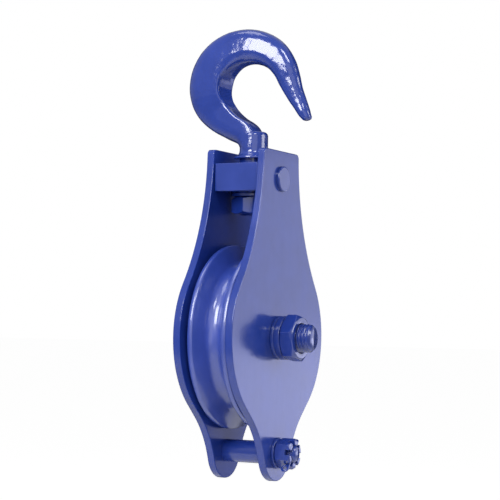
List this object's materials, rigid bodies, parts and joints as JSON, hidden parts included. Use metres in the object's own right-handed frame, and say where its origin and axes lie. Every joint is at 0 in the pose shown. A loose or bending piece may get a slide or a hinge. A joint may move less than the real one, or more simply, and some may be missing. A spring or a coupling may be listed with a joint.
{
  "type": "hook block with one sheave",
  "caption": "Lifting pulley block: a grooved sheave between pear-shaped steel cheeks, hung from an open swivel hook on a tilting crosshead.",
  "frame": {"origin": "centre of the sheave, on the axle's line and half way between the cheeks", "axes": "+Z from the axle up to the hook, +Y along the axle from the nut's side to the bolt head's side, +X to the side of the rope"},
  "size_m": [0.142, 0.1012, 0.3239],
  "materials": {
    "forging_enamel": "glossy blue enamel",
    "cheek_enamel": "glossy blue enamel",
    "sheave_enamel": "glossy blue enamel",
    "fastener_enamel": "glossy blue enamel",
    "bush_bronze": "machined",
    "washer_steel": "machined"
  },
  "bodies": {
    "hook": {"hook": "forging_enamel", "hook_washer": "fastener_enamel", "hook_nut": "fastener_enamel", "hook_nut_pin": "fastener_enamel"},
    "crosshead": {"crosshead": "forging_enamel"},
    "frame": {"cheek_right": "cheek_enamel", "cheek_left": "cheek_enamel", "hub_washer_right": "washer_steel", "hub_washer_left": "washer_steel", "axle_bolt": "fastener_enamel", "axle_washer_right": "fastener_enamel", "axle_washer_left": "fastener_enamel", "axle_spring_washer": "fastener_enamel", "axle_nut": "fastener_enamel", "tie_bolt": "fastener_enamel", "tie_spacer": "fastener_enamel", "tie_washer": "fastener_enamel", "tie_nut": "fastener_enamel", "tie_split_pin": "fastener_enamel"},
    "sheave": {"sheave": "sheave_enamel", "sheave_bush": "bush_bronze"}
  },
  "joints": [
    {"name": "hook_swivel", "type": "hinge", "parent": "hook", "child": "crosshead", "pos_m": [0, 0, 0.113], "axis": [0, 0, 1], "continuous": true},
    {"name": "crosshead_tilt", "type": "hinge", "parent": "crosshead", "child": "frame", "pos_m": [0, 0, 0.113], "axis": [0, 1, 0], "range_deg": [-35, 35]},
    {"name": "sheave_spin", "type": "hinge", "parent": "frame", "child": "sheave", "pos_m": [0, 0, 0], "axis": [0, 1, 0], "continuous": true}
  ]
}
